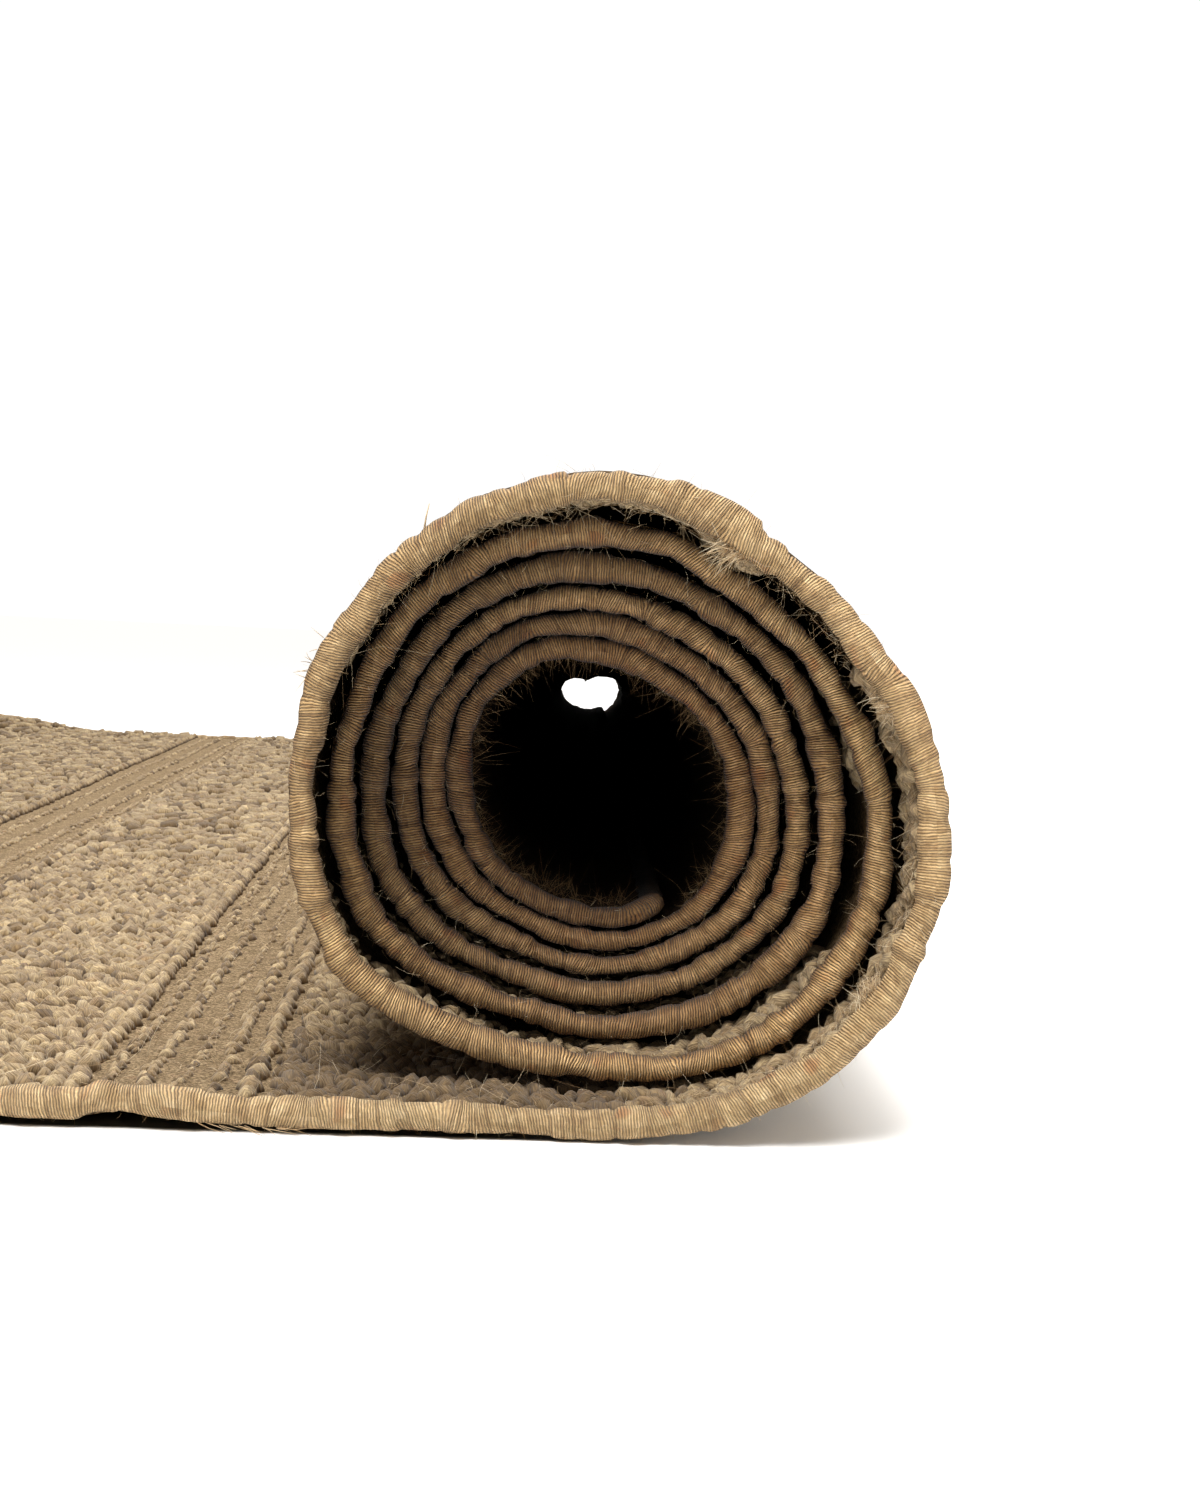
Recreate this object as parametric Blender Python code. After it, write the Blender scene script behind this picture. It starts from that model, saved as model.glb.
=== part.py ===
"""Jute carpet, rolled up, with one loose end lying flat.

Metres, +Z up.  The carpet's width lies along Y and its loose end points to -X.
The carpet is a woven field with a whipped binding round all four edges.  Both are
drawn on the unrolled carpet first, in lengths x (along it, zero where the near side
first touches the floor) and y (across it), and then laid flat or wound round the
roll by place_on_roll().  The far end of the roll is wound a little tighter, so the
roll is slightly conical, lies askew to the carpet, and its turns are stepped.
"""
import math

import bmesh
import bpy
import numpy as np

# --- the unrolled carpet -------------------------------------------------------
RUG_WIDTH = 1.52
LOOSE_END = 0.47            # lies flat, measured on the near side from the roll
THICKNESS = 0.0076          # of the whipped edge where nothing presses on it
FIELD_SHARE = 0.85          # woven field's thickness as a share of the edge's
BINDING_WIDTH = 0.008
CORNER_RADIUS = 0.012
GAP = 0.0003                # between the field and its binding
LAYER_CLEARANCE = 0.0005    # left between two turns that press on each other

# --- the roll ------------------------------------------------------------------
FAR_DRIFT = 0.09            # the far side first touches the floor this much further on
CENTRE_ACROSS = -0.003      # of the roll, from where its near side touches the floor
CENTRE_HEIGHT = 0.080

# Distance in millimetres from the roll's centre to the middle of the carpet's
# thickness, a row for each turn from the outside in, a column for each clock hour
# as the near end is faced.  The last row is the start of a seventh turn.
CLOCK_HOURS = (6, 5, 4, 3, 2, 1, 12, 11, 10, 9, 8, 7)
TURN_RADII = (
    (76.2, 79.0, 82.0, 80.0, 75.5, 75.0, 80.5, 81.5, 79.5, 78.5, 78.0, 69.5),
    (66.8, 71.0, 72.5, 69.5, 65.5, 64.5, 70.0, 72.0, 71.5, 71.0, 69.0, 61.0),
    (59.5, 61.0, 62.0, 59.0, 58.0, 57.5, 61.5, 64.5, 64.0, 63.5, 61.0, 54.0),
    (52.5, 53.0, 53.5, 51.0, 49.5, 49.5, 53.0, 57.0, 57.5, 55.5, 52.5, 47.0),
    (46.0, 46.0, 46.0, 43.8, 42.2, 42.5, 45.8, 50.5, 51.0, 48.0, 45.0, 40.5),
    (39.8, 39.2, 38.2, 36.3, 35.2, 35.2, 38.5, 44.0, 44.2, 40.6, 38.0, 34.0),
    (33.6, 32.8, 31.5),
)
TIP_HOURS = 73              # clock hours of winding, up to the carpet's inner end

# --- fineness ------------------------------------------------------------------
STATIONS_PER_HOUR = 3
ARC_SAMPLES_PER_HOUR = 40
CORNER_STATIONS = 3
SHARP_ANGLE = math.radians(40)

A_TURN = len(CLOCK_HOURS)
HOUR = 2.0 * math.pi / A_TURN


# --- the winding ---------------------------------------------------------------
def turn_radius(hours):
    """Radius after so many clock hours of winding, by a Catmull-Rom curve."""
    radii = np.array([radius for row in TURN_RADII for radius in row]) / 1000.0
    lead_in = radii[0] / math.cos(HOUR)
    radii = np.concatenate([[lead_in], radii, [radii[-1]]])
    hours = np.asarray(hours, dtype=float)
    first = np.clip(np.floor(hours).astype(int), 0, len(radii) - 4)
    t = hours - first
    before, start, end, after = (radii[first + step] for step in range(4))
    bend = 2 * before - 5 * start + 4 * end - after
    twist = 3 * (start - end) + after - before
    return start + 0.5 * t * (end - before + t * (bend + t * twist))


def profile_point(hours):
    """Across and height of the carpet's mid-thickness at the near end of the roll."""
    angle = math.pi - np.asarray(hours, dtype=float) * HOUR
    radius = turn_radius(hours)
    return CENTRE_ACROSS + radius * np.sin(angle), CENTRE_HEIGHT + radius * np.cos(angle)


def pressed_thickness(hours):
    """Thickness where the turns inside and outside leave less than its own."""
    room = THICKNESS
    if hours + A_TURN <= TIP_HOURS:
        room = min(room, turn_radius(hours) - turn_radius(hours + A_TURN) - LAYER_CLEARANCE)
    if hours >= A_TURN:
        room = min(room, turn_radius(hours - A_TURN) - turn_radius(hours) - LAYER_CLEARANCE)
    return float(room)


SAMPLE_HOURS = np.linspace(0.0, TIP_HOURS, TIP_HOURS * ARC_SAMPLES_PER_HOUR + 1)
SAMPLE_ACROSS, SAMPLE_HEIGHT = profile_point(SAMPLE_HOURS)
SAMPLE_LENGTH = np.concatenate(
    [[0.0], np.cumsum(np.hypot(np.diff(SAMPLE_ACROSS), np.diff(SAMPLE_HEIGHT)))]
)
WOUND_LENGTH = float(SAMPLE_LENGTH[-1])     # of the near side
TAPER = FAR_DRIFT / WOUND_LENGTH            # how much smaller the roll's far end is
SKEW = math.atan(FAR_DRIFT / RUG_WIDTH)     # of the roll's axis, in plan
AXIS = (math.sin(SKEW), math.cos(SKEW))
ACROSS = (math.cos(SKEW), -math.sin(SKEW))


def wound_length(x, y):
    """Near-side length wound at a place on the carpet; below zero it lies flat."""
    far_share = y / RUG_WIDTH
    return WOUND_LENGTH - (WOUND_LENGTH - x) / (1.0 - TAPER * far_share)


def unrolled_x(wound, y):
    """The place along the carpet where the winding has reached a near-side length."""
    far_share = y / RUG_WIDTH
    return WOUND_LENGTH - (WOUND_LENGTH - wound) * (1.0 - TAPER * far_share)


def place_on_roll(x, y, side):
    """Where a place on the carpet ends up; side is -1 its back, +1 its pile face."""
    wound = wound_length(x, y)
    if wound <= 0.0:
        return (x, y, (1 + side) * THICKNESS / 2)
    hours = float(np.interp(wound, SAMPLE_LENGTH, SAMPLE_HOURS))
    across, height = (float(value) for value in profile_point(hours))
    step = 0.01
    ahead = profile_point(hours + step)
    behind = profile_point(max(hours - step, 0.0))
    run, rise = ahead[0] - behind[0], ahead[1] - behind[1]
    length = math.hypot(run, rise)
    lift = side * pressed_thickness(hours) / 2
    across += -rise / length * lift - SAMPLE_ACROSS[0]
    height += run / length * lift
    # On the unrolled carpet the lines that end up straight along the roll fan out.
    # Where one starts along the roll follows from how far it leans.
    lean = math.atan((WOUND_LENGTH - wound) * TAPER / RUG_WIDTH)
    stepped = TAPER / RUG_WIDTH * (WOUND_LENGTH * wound - wound**2 / 2)
    along = stepped + y / math.cos(lean)
    size = 1.0 - TAPER * y / RUG_WIDTH
    across, height = across * size, height * size
    return (
        float(across * ACROSS[0] + along * AXIS[0]),
        float(across * ACROSS[1] + along * AXIS[1]),
        float(height),
    )


# --- solids --------------------------------------------------------------------
def lofted(name, rings, closed):
    """A solid through rings of points that all run the same way round."""
    form = bmesh.new()
    rows = [[form.verts.new(point) for point in ring] for ring in rings]
    pairs = list(zip(rows, rows[1:]))
    if closed:
        pairs.append((rows[-1], rows[0]))
    for row, next_row in pairs:
        for i in range(len(row)):
            j = (i + 1) % len(row)
            form.faces.new((row[i], row[j], next_row[j], next_row[i]))
    if not closed:
        form.faces.new(list(reversed(rows[0])))
        form.faces.new(rows[-1])
    bmesh.ops.recalc_face_normals(form, faces=form.faces)
    bmesh.ops.triangulate(form, faces=form.faces)
    mesh = bpy.data.meshes.new(name)
    form.to_mesh(mesh)
    form.free()
    mesh.shade_smooth()
    mesh.set_sharp_from_angle(angle=SHARP_ANGLE)
    solid = bpy.data.objects.new(name, mesh)
    bpy.context.scene.collection.objects.link(solid)
    return solid


def winding_stations(first, last, y):
    """Places along the line y of the carpet, at even clock angles of the winding."""
    hours = np.arange(TIP_HOURS * STATIONS_PER_HOUR + 1) / STATIONS_PER_HOUR
    lengths = np.interp(hours, SAMPLE_HOURS, SAMPLE_LENGTH)
    places = [unrolled_x(float(length), y) for length in lengths]
    return [first] + [x for x in places if first < x < last] + [last]


def woven_field():
    """The woven cloth inside the binding, one sheet from its loose end to its core."""
    inset = BINDING_WIDTH + GAP
    cut = CORNER_RADIUS - BINDING_WIDTH
    low_y, high_y = inset, RUG_WIDTH - inset
    low_x, high_x = inset - LOOSE_END, WOUND_LENGTH - inset
    top = 2 * FIELD_SHARE - 1

    def ring(near, far):
        """A section from the near side to the far one, round the back and the face."""
        return [
            place_on_roll(*near, -1),
            place_on_roll(*far, -1),
            place_on_roll(*far, top),
            place_on_roll(*near, top),
        ]

    near_places = winding_stations(low_x + cut, high_x - cut, low_y)
    far_places = winding_stations(low_x + cut, high_x - cut, high_y)
    rings = [ring((low_x, low_y + cut), (low_x, high_y - cut))]
    rings += [ring((near, low_y), (far, high_y)) for near, far in zip(near_places, far_places)]
    rings.append(ring((high_x, low_y + cut), (high_x, high_y - cut)))
    return lofted("woven_field", rings, closed=False)


def rounded_corner(x, y, start):
    """Places round a corner of the cord's middle line, each with the way out there."""
    radius = CORNER_RADIUS - BINDING_WIDTH / 2
    turned = []
    for step in range(1, CORNER_STATIONS):
        angle = start + step * math.pi / 2 / CORNER_STATIONS
        out = (math.cos(angle), math.sin(angle))
        turned.append(((x + radius * out[0], y + radius * out[1]), out))
    return turned


def whipped_binding():
    """The cord wrapped round all four edges, as one closed loop."""
    half_cord = BINDING_WIDTH / 2
    low_y, high_y = CORNER_RADIUS, RUG_WIDTH - CORNER_RADIUS
    low_x, high_x = CORNER_RADIUS - LOOSE_END, WOUND_LENGTH - CORNER_RADIUS
    near, far = half_cord, RUG_WIDTH - half_cord
    outer, inner = half_cord - LOOSE_END, WOUND_LENGTH - half_cord
    near_places = winding_stations(low_x, high_x, near)
    far_places = winding_stations(low_x, high_x, far)

    path = [((x, near), (0.0, -1.0)) for x in near_places]
    path += rounded_corner(high_x, low_y, -math.pi / 2)
    path += [((inner, y), (1.0, 0.0)) for y in (low_y, high_y)]
    path += rounded_corner(high_x, high_y, 0.0)
    path += [((x, far), (0.0, 1.0)) for x in reversed(far_places)]
    path += rounded_corner(low_x, high_y, math.pi / 2)
    path += [((outer, y), (-1.0, 0.0)) for y in (high_y, low_y)]
    path += rounded_corner(low_x, low_y, math.pi)

    # Round the cord: how far out and how high, as shares of its half sizes.
    section = (
        (1.0, 0.0),
        (0.5, 1.0),
        (-0.5, 1.0),
        (-1.0, 0.0),
        (-0.5, -1.0),
        (0.5, -1.0),
    )
    rings = []
    for (x, y), out in path:
        ring = []
        for share, side in section:
            reach = share * half_cord
            ring.append(place_on_roll(x + out[0] * reach, y + out[1] * reach, side))
        rings.append(ring)
    return lofted("whipped_binding", rings, closed=True)


def yarn_material(name, colour, roughness):
    """A matt yarn: base colour and roughness."""
    material = bpy.data.materials.new(name)
    material.use_nodes = True
    shader = material.node_tree.nodes["Principled BSDF"]
    shader.inputs["Base Color"].default_value = (*colour, 1.0)
    shader.inputs["Roughness"].default_value = roughness
    shader.inputs["Metallic"].default_value = 0.0
    return material


def centre_over_origin(solids):
    """Move all meshes so that their common box stands centred on the origin."""
    points = np.array([vertex.co[:] for solid in solids for vertex in solid.data.vertices])
    low, high = points.min(axis=0), points.max(axis=0)
    shift = (-(low[0] + high[0]) / 2, -(low[1] + high[1]) / 2, -low[2])
    for solid in solids:
        for vertex in solid.data.vertices:
            vertex.co = [value + move for value, move in zip(vertex.co, shift)]


def build():
    for leftover in list(bpy.data.objects):
        bpy.data.objects.remove(leftover)
    field = woven_field()
    field.data.materials.append(yarn_material("woven_jute", (0.45, 0.33, 0.20), 0.9))
    binding = whipped_binding()
    binding.data.materials.append(yarn_material("binding_jute", (0.52, 0.38, 0.24), 0.8))
    centre_over_origin((field, binding))


build()
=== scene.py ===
# %% [markdown]
# # A rolled up jute carpet
# The real thing is one handwoven rug: bands of looped yarn between bands of plain weave,
# with jute thread whipped round its four edges. It is wound into a roll, and one end lies
# loose on the floor. Everything here is modelled on the carpet as if it still lay flat,
# where shapes are simple, and then one function winds it up.

# %% The frame
import math

import bmesh
import bpy
import numpy as np
from mathutils import Matrix, Vector


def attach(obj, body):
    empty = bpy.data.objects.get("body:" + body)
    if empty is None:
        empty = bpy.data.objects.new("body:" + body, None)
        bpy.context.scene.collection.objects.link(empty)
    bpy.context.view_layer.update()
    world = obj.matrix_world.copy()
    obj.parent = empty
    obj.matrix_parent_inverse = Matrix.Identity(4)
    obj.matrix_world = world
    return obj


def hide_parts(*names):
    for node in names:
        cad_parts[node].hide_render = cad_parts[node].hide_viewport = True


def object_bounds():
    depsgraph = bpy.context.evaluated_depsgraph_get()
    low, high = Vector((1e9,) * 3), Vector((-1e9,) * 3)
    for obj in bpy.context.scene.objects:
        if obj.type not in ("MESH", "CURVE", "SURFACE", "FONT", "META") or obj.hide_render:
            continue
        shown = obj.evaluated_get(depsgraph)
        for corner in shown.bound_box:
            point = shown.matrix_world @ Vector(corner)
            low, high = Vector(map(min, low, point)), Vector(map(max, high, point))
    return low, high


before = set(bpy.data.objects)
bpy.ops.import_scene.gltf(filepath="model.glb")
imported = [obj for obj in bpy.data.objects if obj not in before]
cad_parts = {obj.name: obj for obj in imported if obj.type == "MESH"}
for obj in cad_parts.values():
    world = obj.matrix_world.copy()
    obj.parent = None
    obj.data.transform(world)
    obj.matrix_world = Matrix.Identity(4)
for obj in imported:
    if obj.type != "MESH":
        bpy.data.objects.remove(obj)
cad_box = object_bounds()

print("CAD box", [round(value, 4) for corner in cad_box for value in corner])

# %% [markdown]
# ## The winding
# A rolled carpet is a spiral, but not a neat one: it sags under its own weight and bulges
# where it was pulled less. A short table holds how far each turn is from the roll's centre
# at each hour of a clock face, and a Catmull-Rom curve runs smoothly between the hours.
# This is the same winding that the solid model has.

# %% Sizes of the carpet and its roll
RUG_WIDTH = 1.52
LOOSE_END = 0.47
EDGE_THICKNESS = 0.0076
EDGE_WIDTH = 0.008
CORNER_RADIUS = 0.012
CLEARANCE = 0.0005
FAR_DRIFT = 0.09
CENTRE_ACROSS = -0.003
CENTRE_HEIGHT = 0.080
A_TURN = 12
TURN_RADII = (
    (76.2, 79.0, 82.0, 80.0, 75.5, 75.0, 80.5, 81.5, 79.5, 78.5, 78.0, 69.5),
    (66.8, 71.0, 72.5, 69.5, 65.5, 64.5, 70.0, 72.0, 71.5, 71.0, 69.0, 61.0),
    (59.5, 61.0, 62.0, 59.0, 58.0, 57.5, 61.5, 64.5, 64.0, 63.5, 61.0, 54.0),
    (52.5, 53.0, 53.5, 51.0, 49.5, 49.5, 53.0, 57.0, 57.5, 55.5, 52.5, 47.0),
    (46.0, 46.0, 46.0, 43.8, 42.2, 42.5, 45.8, 50.5, 51.0, 48.0, 45.0, 40.5),
    (39.8, 39.2, 38.2, 36.3, 35.2, 35.2, 38.5, 44.0, 44.2, 40.6, 38.0, 34.0),
    (33.6, 32.8, 31.5),
)
TIP_HOURS = 73


def turn_radius(hours):
    """Radius after so many clock hours of winding."""
    radii = np.array([radius for row in TURN_RADII for radius in row]) / 1000
    radii = np.concatenate([[radii[0] / math.cos(2 * math.pi / A_TURN)], radii, [radii[-1]]])
    first = np.clip(np.floor(hours).astype(int), 0, len(radii) - 4)
    t = hours - first
    before, start, end, after = (radii[first + step] for step in range(4))
    bend = 2 * before - 5 * start + 4 * end - after
    twist = 3 * (start - end) + after - before
    return start + 0.5 * t * (end - before + t * (bend + t * twist))


def profile(hours):
    """Across and height of the middle of the cloth at the near end."""
    angle = math.pi - hours * 2 * math.pi / A_TURN
    radius = turn_radius(hours)
    return CENTRE_ACROSS + radius * np.sin(angle), CENTRE_HEIGHT + radius * np.cos(angle)


hours_at = np.linspace(0, TIP_HOURS, TIP_HOURS * 40 + 1)
across_at, height_at = profile(hours_at)
steps = np.hypot(np.diff(across_at), np.diff(height_at))
length_at = np.concatenate([[0.0], np.cumsum(steps)])
WOUND = float(length_at[-1])
TAPER = FAR_DRIFT / WOUND
SKEW = math.atan(FAR_DRIFT / RUG_WIDTH)

# %% [markdown]
# ## Pressed cloth
# Inside a roll each turn has only the room that its neighbours leave. Two curves along the
# winding say how far the edge and the pile are pressed together there. The pile's curve is
# smoothed as well, because a pile doesn't change its height suddenly.

# %% How far each turn is pressed
PILE_TOP = 0.0098           # of free loops, above the back of the cloth
PILE_CLEARANCE = 0.0003
FREE_ROOM = 0.02            # where no turn lies beside this one
SMOOTHED_OVER = 41          # samples, about one clock hour


def smoothed(values, window):
    """A moving average that keeps the ends."""
    padded = np.pad(values, window // 2, mode="edge")
    return np.convolve(padded, np.ones(window) / window, mode="valid")[: len(values)]


radius_at = turn_radius(hours_at)
inside = np.full(len(hours_at), FREE_ROOM)
has_inner = hours_at <= TIP_HOURS - A_TURN
inside[has_inner] = radius_at[has_inner] - turn_radius(hours_at[has_inner] + A_TURN)
outside = np.full(len(hours_at), FREE_ROOM)
has_outer = hours_at >= A_TURN
outside[has_outer] = turn_radius(hours_at[has_outer] - A_TURN) - radius_at[has_outer]
pressed = np.minimum(EDGE_THICKNESS, np.minimum(inside, outside) - CLEARANCE)
inner_pressed = np.interp(hours_at + A_TURN, hours_at, pressed)
pile_room = inside + (pressed - inner_pressed) / 2 - PILE_CLEARANCE
pile_squeeze = smoothed(np.minimum(1.0, pile_room / PILE_TOP), SMOOTHED_OVER)
edge_squeeze = pressed / EDGE_THICKNESS
print(f"the pile keeps {pile_squeeze.min():.2f} to {pile_squeeze.max():.2f} of its height")

# %% [markdown]
# ## The loose end
# The loose end stays flat on the floor, apart from a lifted corner, a lifted stretch of the
# near side and a few soft waves. One function says how far it is off the floor anywhere.

# %% How the loose end lies
LIFTED_EDGE = (-0.127, 0.045, 0.0025)       # of the near side: from where, how wide, how high
LIFT_RISE = 0.007                           # over what length it rises
LIFTED_DEPTH = 0.12                         # how far in from the near side it is lifted
LIFTED_CORNER = (0.11, 0.012)               # how far it reaches, how high
BY_ROLL = (0.03, 0.0009)                    # lifted near the roll: how far it reaches, how high
FLAT_WAVES = 0.0006                         # half the height of the soft waves


def soft_step(values):
    """Rises smoothly from 0 to 1."""
    values = np.clip(values, 0, 1)
    return values * values * (3 - 2 * values)


def loose_lift(x, y):
    """How far the loose end is off the floor."""
    where, width, height = LIFTED_EDGE
    lift = soft_step((x - where) / LIFT_RISE) * (1 - soft_step((x - where) / width))
    at_near_side = soft_step(1 - y / LIFTED_DEPTH)
    lift = height * lift * at_near_side
    lift = lift + BY_ROLL[1] * soft_step(-x / BY_ROLL[0]) * at_near_side
    reach, corner = LIFTED_CORNER
    away = np.hypot(x + LOOSE_END, y - RUG_WIDTH)
    lift = lift + corner * soft_step(1 - away / reach)
    wave = 1 + np.sin(23 * x + 5 * y) * np.sin(9 * y + 1.3)
    return lift + FLAT_WAVES * wave * soft_step(-x / 0.1)


corner_lift = loose_lift(-LOOSE_END, RUG_WIDTH)
print(f"the lifted corner is {corner_lift * 1000:.1f} mm off the floor")

# %% [markdown]
# ## Turns that stray
# Turns of cloth are never evenly spaced. Neighbours share slow waves, each place also strays
# by chance, and the whole roll is a little wavy along its length. The innermost turn has
# nothing inside it to lie on, so towards the far end it hangs into the core.

# %% Unevenness of the turns
WAVER = 0.0012              # unevenness of the roll along its length
# waves that neighbouring turns share: their size, how many in a turn, their drift by turn
RIPPLES = ((0.00026, 5, 0.5), (0.00020, 11, 0.7), (0.00016, 19, 0.9))
STRAY = (0.00042, 0.0105)   # how far a place strays by chance, and how far apart places are
STRAY_SEED = 3
SLACK_OUTER = (28, 8)       # the turns lie looser before this hour, over so many hours
SAG_HOURS = (62.0, 71.0)    # where the innermost turn hangs into the core
SAG = 0.038
SAG_ALONG = (0.35, 1.1)     # from where along the roll, and over what length it grows

stray_count = len(np.arange(0, 2.4, STRAY[1]))
stray_by = np.random.default_rng(STRAY_SEED).uniform(-1, 1, stray_count) * STRAY[0]


def ripple(hours, wound):
    """How far the turns stray in and out: waves that neighbours share, and chance."""
    turns = hours / A_TURN
    shared = (
        size * np.sin(2 * math.pi * count * turns + drift * turns * 2 + count)
        for size, count, drift in RIPPLES
    )
    before = np.floor(wound / STRAY[1])
    share = soft_step(wound / STRAY[1] - before)
    number = np.clip(before.astype(int), 0, len(stray_by) - 2)
    chance = stray_by[number] * (1 - share) + stray_by[number + 1] * share
    loose = 0.6 + 0.6 * soft_step((SLACK_OUTER[0] - hours) / SLACK_OUTER[1])
    return (sum(shared) + chance) * loose


def sag(hours, y):
    """How far the slack innermost turn hangs into the core towards the far end."""
    start, end = SAG_HOURS
    through = np.clip((hours - start) / (end - start), 0, 1)
    grown = soft_step((y - SAG_ALONG[0]) / SAG_ALONG[1])
    return SAG * np.sin(math.pi * through) ** 2 * grown


print(f"turns stray by up to {np.abs(stray_by).max() * 1000:.2f} mm by chance")

# %% [markdown]
# ## From flat to wound
# `wind` takes points on the unrolled carpet: x along it, y across it and their height above
# its back. The roll's far end is wound a little tighter, so the roll is slightly conical and
# its turns are stepped; both follow from keeping every length on the cloth what it was. The
# last lines set the carpet down where the solid model lies.

# %% Winding points
NUDGE = 0.01                # of an hour, to find the direction of the winding


def wind(points, squeeze):
    """Points on the flat carpet, taken to where they are on the rolled one."""
    x, y, height = np.asarray(points, dtype=float).T
    wound = WOUND - (WOUND - x) / (1 - TAPER * y / RUG_WIDTH)
    hours = np.interp(wound, length_at, hours_at)
    keep = np.interp(hours, hours_at, squeeze)
    lift = height * keep - np.interp(hours, hours_at, pressed) / 2
    across, up = profile(hours)
    ahead, behind = profile(hours + NUDGE), profile(np.maximum(hours - NUDGE, 0))
    run, rise = ahead[0] - behind[0], ahead[1] - behind[1]
    size = np.hypot(run, rise)
    across = across - rise / size * lift - across_at[0]
    up = up + run / size * lift
    angle = np.arctan2(across - CENTRE_ACROSS, up - CENTRE_HEIGHT)
    waver = np.sin(11 * y + 2 * angle) + 0.6 * np.sin(27 * y - 3 * angle + 1)
    waver = WAVER * waver * soft_step(y / 0.2) * soft_step((up - 0.01) / 0.06)
    off_floor = soft_step(wound / 0.06) * soft_step((up - 0.008) / 0.01)
    waver = waver + ripple(hours, wound) * off_floor - sag(hours, y)
    across, up = across + waver * np.sin(angle), up + waver * np.cos(angle)
    lean = np.arctan((WOUND - wound) * TAPER / RUG_WIDTH)
    along = TAPER / RUG_WIDTH * (WOUND * wound - wound**2 / 2) + y / np.cos(lean)
    shrink = 1 - TAPER * y / RUG_WIDTH
    across, up = across * shrink, up * shrink
    rolled = np.stack(
        [
            across * math.cos(SKEW) + along * math.sin(SKEW),
            along * math.cos(SKEW) - across * math.sin(SKEW),
            up,
        ],
        axis=1,
    )
    eased = 1 + (squeeze[0] - 1) * soft_step(1 + wound / 0.03)
    flat = np.stack([x, y, height * eased + loose_lift(x, y)], axis=1)
    return np.where((wound <= 0)[:, None], flat, rolled) + place


place = np.zeros(3)
edge_line = [(x, 0.0, EDGE_THICKNESS / 2) for x in np.linspace(0, WOUND, 2000)]
place = np.array([
    cad_box[0].x + LOOSE_END,
    cad_box[0].y - wind(edge_line, edge_squeeze)[:, 1].min(),
    0.0,
])
print("the near side first touches the floor at", place.round(4))

# %% [markdown]
# ## Helpers for meshes
# A piece starts as a bmesh on the flat carpet. Its vertices are wound all at once, as an
# array, and a UV map keeps where each was on the flat carpet, in metres, so that a weave or
# a row of stitches follows the cloth round the roll.

# %% Making a wound piece
def grid_lines(*stretches):
    """Places along a line: from, to and spacing for each stretch."""
    lines = []
    for start, end, spacing in stretches:
        count = max(1, round((end - start) / spacing))
        lines += list(np.linspace(start, end, count, endpoint=False))
    return np.array(lines + [stretches[-1][1]])


def flat_grid(x_lines, y_lines, height):
    """A grid on the flat carpet with its lines where they are asked for."""
    form = bmesh.new()
    across, down = len(x_lines) - 1, len(y_lines) - 1
    bmesh.ops.create_grid(form, x_segments=across, y_segments=down, size=0.5)
    for vertex in form.verts:
        column = round((vertex.co.x + 0.5) * across)
        row = round((vertex.co.y + 0.5) * down)
        vertex.co = (x_lines[column], y_lines[row], height)
    return form


def as_mesh(form, name):
    """A bmesh made a mesh; the bmesh is freed."""
    mesh = bpy.data.meshes.new(name)
    form.to_mesh(mesh)
    form.free()
    return mesh


def mesh_points(mesh):
    """The mesh's vertices as an array."""
    points = np.empty(len(mesh.vertices) * 3)
    mesh.vertices.foreach_get("co", points)
    return points.reshape(-1, 3)


def corner_vertices(mesh):
    """The vertex at each corner of each face."""
    numbers = np.empty(len(mesh.loops), dtype=int)
    mesh.loops.foreach_get("vertex_index", numbers)
    return numbers


def add_uv(mesh, name, values):
    """A UV map from one pair of values for each face corner."""
    layer = mesh.uv_layers.new(name=name)
    layer.data.foreach_set("uv", np.ascontiguousarray(values, dtype=np.float32).ravel())


def finished(name, mesh, materials):
    """An object for a mesh that is already in its place."""
    mesh.shade_smooth()
    piece = bpy.data.objects.new(name, mesh)
    bpy.context.scene.collection.objects.link(piece)
    for material in materials:
        mesh.materials.append(material)
    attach(piece, "root")
    triangles = sum(len(face.vertices) - 2 for face in mesh.polygons)
    print(f"{name}: {triangles} triangles")
    return piece


print(f"each wound piece is moved by {place[0]:.3f}, {place[1]:.3f} m to where the carpet lies")

# %% [markdown]
# ## Node helpers
# Shaders are wired in code with a few small helpers: `wire` adds a node with its inputs,
# `maths`, `noise`, `ramp` and `shaded` add the nodes that come up most, and `new_group`
# starts a node group with named sockets. What more than one yarn shares, such as the colour
# of jute and the grain of its fibres, is a group that is built once.

# %% Wiring nodes
def put(tree, socket, value):
    """A value on a socket, or another node's output linked to it."""
    if isinstance(value, bpy.types.NodeSocket):
        tree.links.new(value, socket)
    else:
        socket.default_value = value


def wire(tree, kind, inputs=(), **settings):
    """A new node; an input is a value or another node's output."""
    node = tree.nodes.new("ShaderNode" + kind)
    for key, value in settings.items():
        setattr(node, key, value)
    for key, value in dict(inputs).items():
        put(tree, node.inputs[key], value)
    return node


def noise(tree, vector, scale, detail, **inputs):
    """A Noise Texture node; its outputs are a value and a colour."""
    return wire(tree, "TexNoise", {"Vector": vector, "Scale": scale, "Detail": detail, **inputs})


def ranged(tree, value, start, end, low=0.0, high=1.0):
    """A value taken from one range to another, kept between its ends."""
    inputs = {0: value, 1: start, 2: end, 3: low, 4: high}
    return wire(tree, "MapRange", inputs).outputs[0]


def uv_place(tree, name):
    """A UV map's vector."""
    return wire(tree, "UVMap", uv_map=name).outputs[0]


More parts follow.
